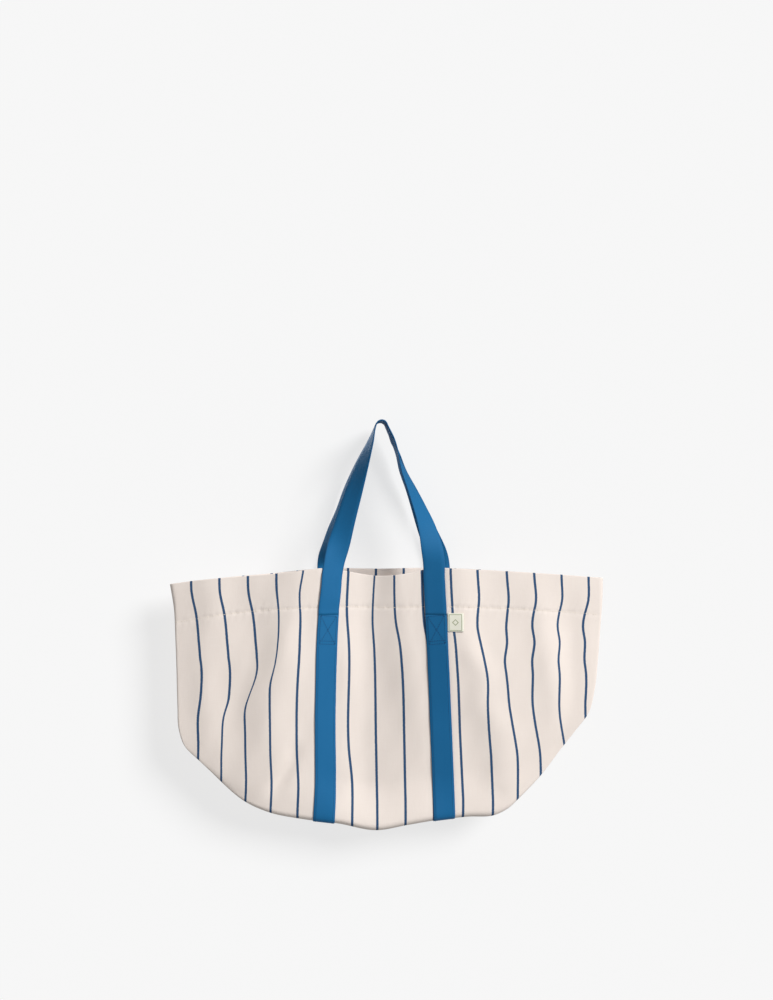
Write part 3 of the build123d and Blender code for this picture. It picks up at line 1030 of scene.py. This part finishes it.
def box_rows(side, hand):
    """The box, its cross and a doubled foot. Places are (across, down from the strap's top)."""
    runs, face, across, normal = strap_face(hand)
    half, head, foot = 0.0135, 0.003, 0.048
    lines = [
        [(-half, head), (half, head)], [(half, head), (half, foot)], [(half, foot), (-half, foot)],
        [(-half, foot), (-half, head)], [(-half, head), (half, foot)], [(half, head), (-half, foot)],
        [(-half, foot - 0.005), (half, foot - 0.005)],
    ]
    rows = []
    for line in lines:
        place, down = along(line, np.linspace(0, 1, 24)).T
        run = down if side == FRONT else runs[-1] - down
        points = at_run(run, runs, face) + at_run(run, runs, across) * place[:, None]
        rows.append((points, at_run(run, runs, normal)))
    return rows


# ---- Building the pieces ----

def finish_piece(piece, material, slot, *nodes):
    piece.data.materials.clear()
    piece.data.materials.append(material)
    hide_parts(*nodes)
    return piece


def follow_mouth(piece):
    """Bakes the piece's transform into its mesh."""
    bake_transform(piece)


def both(name):
    return [f"{side}_{name}" for side in SIDE_NAMES.values()]


follow_mouth(finish_piece(canvas_body(), CANVAS, "canvas", *both("panel"), *both("hem")))

# Straps, their long stitch rows and the boxes that anchor the handles.
for hand, hand_name in HAND_NAMES.items():
    strap = ribbon(f"{hand_name}_strap", *strap_surface(hand))
    follow_mouth(finish_piece(strap, WEBBING, "webbing", *both(f"{hand_name}_strap")))
    rows = stitches(f"{hand_name}_strap_rows", long_rows(hand), 0.0030, 0.00045)
    follow_mouth(finish_piece(rows, BLUE_THREAD, "webbing_thread", *both(f"{hand_name}_strap_stitching")))
    for side, side_name in SIDE_NAMES.items():
        box = stitches(f"{side_name}_{hand_name}_box", box_rows(side, hand), 0.0028, 0.00060)
        follow_mouth(finish_piece(box, BLUE_THREAD, "webbing_thread", f"{side_name}_{hand_name}_box_stitch"))

# Handles, each one strip of webbing from box stitch to box stitch.
for side, side_name in SIDE_NAMES.items():
    piece = finish_piece(handle(side), WEBBING, "webbing", f"{side_name}_handle_webbing")
    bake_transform(piece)

# Hem stitching, which runs on under the straps.
for side, side_name in SIDE_NAMES.items():
    x = np.linspace(-0.335, 0.350, 460)
    hem_row = stitches(f"{side_name}_hem_row", [on_shell(side, x, hem_z(x), 0.0001)], 0.0034, 0.00045)
    follow_mouth(finish_piece(hem_row, CREAM_THREAD, "canvas_thread", f"{side_name}_hem_stitching"))


def seam_strip(name, edge, shares, hand):
    """Raw seam allowance inside a side fold or a boxed corner, a little wavy."""
    places = along(edge, np.asarray(shares))
    heading = unit(np.gradient(places, axis=0))
    inward = np.stack([heading[:, 1], -heading[:, 0]], -1) * hand
    vertices, cloth = [], []
    columns = 6
    for r, (place, into) in enumerate(zip(places, inward)):
        for c in range(columns):
            reach = 0.0032 + 0.0115 * c / (columns - 1)
            x, z = place + into * reach
            wave = 0.0009 * (c / (columns - 1)) ** 2 * sin(r * 0.7 + hand)
            vertices.append((x, middle_y(x) + wave, z))
            cloth.append((x, -z, 0))
    piece = make_mesh(name, vertices, grid_faces(len(places), columns), cloth)
    add_thickness(piece, 0.0011, 0)
    return piece


for hand, hand_name in HAND_NAMES.items():
    side_edge = LEFT_EDGE if hand == LEFT else RIGHT_EDGE
    low_edge = BOTTOM_EDGE[:5] if hand == LEFT else BOTTOM_EDGE[:-6:-1]
    seam = seam_strip(f"{hand_name}_side_allowance", side_edge, np.linspace(0.22, 0.80, 40), hand)
    follow_mouth(finish_piece(seam, CANVAS, "canvas", f"{hand_name}_side_seam"))
    corner_edge = side_edge[-2:] + low_edge[1:]
    seam = seam_strip(f"{hand_name}_corner_allowance", corner_edge, np.linspace(0.05, 0.90, 30), hand)
    follow_mouth(finish_piece(seam, CANVAS, "canvas", f"{hand_name}_corner_seam"))


def woven_label():
    """Small woven tab whose left edge is caught under the right strap."""
    columns, rows = 13, 17
    left_x = float(strap_x(FRONT, RIGHT, -0.316)) + WEBBING_WIDTH / 2 - 0.0005
    a, b = np.meshgrid(np.linspace(0, 1, columns), np.linspace(0, 1, rows))
    lift = 0.0007 + 0.0022 * a ** 2 * (0.6 + 0.4 * np.sin(pi * b))
    x = (left_x + LABEL_WIDTH * a).ravel()
    z = (LABEL_TOP_Z - LABEL_HEIGHT * b).ravel()
    vertices, _ = on_shell(FRONT, x, z, lift.reshape(-1, 1))
    cloth = np.stack([LABEL_WIDTH * (a - 0.5), LABEL_HEIGHT * (0.5 - b), 0 * a], -1).reshape(-1, 3)
    piece = make_mesh("label_tab", vertices, grid_faces(rows, columns), cloth)
    add_thickness(piece, 0.0006, 0)
    return piece


follow_mouth(finish_piece(woven_label(), LABEL, "label", "woven_label"))


# ---- Stage, light and camera ----

def plane(name, corners):
    mesh = bpy.data.meshes.new(name)
    mesh.from_pydata(corners, [], [(0, 1, 2, 3)])
    thing = bpy.data.objects.new(name, mesh)
    bpy.context.scene.collection.objects.link(thing)
    return thing


def pale_material(name, colour, glow, one_sided):
    material, recipe, surface = shader(name, 1.0)
    surface.inputs["Specular IOR Level"].default_value = 0.0
    surface.inputs["Base Color"].default_value = (colour, colour, colour, 1)
    surface.inputs["Emission Color"].default_value = (1, 1, 1, 1)
    surface.inputs["Emission Strength"].default_value = glow
    if one_sided:
        tree = recipe.tree
        clear = recipe.add("ShaderNodeBsdfTransparent")
        choose = recipe.add("ShaderNodeMixShader")
        facing = recipe.add("ShaderNodeNewGeometry")
        output = [n for n in tree.nodes if n.type == "OUTPUT_MATERIAL"][0]
        tree.links.new(facing.outputs["Backfacing"], choose.inputs[0])
        tree.links.new(surface.outputs[0], choose.inputs[1])
        tree.links.new(clear.outputs[0], choose.inputs[2])
        tree.links.new(choose.outputs[0], output.inputs["Surface"])
    return material


WALL_Y = 0.058
FLOOR_Z = -1.75
wall = plane("wall", [(-4, WALL_Y, FLOOR_Z), (4, WALL_Y, FLOOR_Z), (4, WALL_Y, 3), (-4, WALL_Y, 3)])
wall.data.materials.append(pale_material("wall_paint", 0.24, 0.700, True))
wall.visible_shadow = False
wall.visible_diffuse = False
wall.visible_glossy = False
floor = plane("floor", [(-6, -6, FLOOR_Z), (6, -6, FLOOR_Z), (6, 6, FLOOR_Z), (-6, 6, FLOOR_Z)])
floor.data.materials.append(pale_material("floor_paint", 0.85, 0.0, False))
floor.visible_diffuse = False

scene = bpy.context.scene
scene.view_settings.view_transform = "Standard"


def lamp(name, kind, power, place, heading):
    data = bpy.data.lights.new(name, kind)
    data.energy = power
    thing = bpy.data.objects.new(name, data)
    thing.location = place
    thing.rotation_mode = "QUATERNION"
    thing.rotation_quaternion = heading.to_track_quat("-Z", "Y")
    scene.collection.objects.link(thing)
    return data


# The key light comes from the right and above, as in the photo; the fill lights the rear.
KEY_DIRECTION = Vector((0.62, -0.65, 0.48))
FILL_PLACE = Vector((-1.2, 2.6, 0.9))
BAG_MIDDLE = Vector((0.0, 0.0, -0.40))
lamp("key", "SUN", 3.0, (0, 0, 0), -KEY_DIRECTION).angle = radians(24)
fill = lamp("rear_fill", "AREA", 45, FILL_PLACE, BAG_MIDDLE - FILL_PLACE)
fill.shape = "SQUARE"
fill.size = 2.0
world = bpy.data.worlds.new("studio")
world.use_nodes = True
world.node_tree.nodes["Background"].inputs["Color"].default_value = (1.0, 1.0, 1.0, 1)
world.node_tree.nodes["Background"].inputs["Strength"].default_value = 0.34
scene.world = world

SENSOR_HEIGHT = 36.0        # in millimetres
FRAME_HEIGHT = 1.62         # seen at the camera's target
CAMERA_DISTANCE = 2.6
CAMERA_TARGET = Vector((0.009, 0.0, -0.118))
CAMERA_AZIMUTH = radians(-2.6)
camera_data = bpy.data.cameras.new("camera")
camera_data.sensor_fit = "VERTICAL"
camera_data.sensor_height = SENSOR_HEIGHT
camera_data.lens = SENSOR_HEIGHT * CAMERA_DISTANCE / FRAME_HEIGHT
camera_data.clip_end = 50
camera = bpy.data.objects.new("camera", camera_data)
away = Vector((sin(CAMERA_AZIMUTH), -cos(CAMERA_AZIMUTH), 0))
camera.location = CAMERA_TARGET + away * CAMERA_DISTANCE
camera.rotation_mode = "QUATERNION"
camera.rotation_quaternion = (-away).to_track_quat("-Z", "Y")
scene.collection.objects.link(camera)
scene.camera = camera
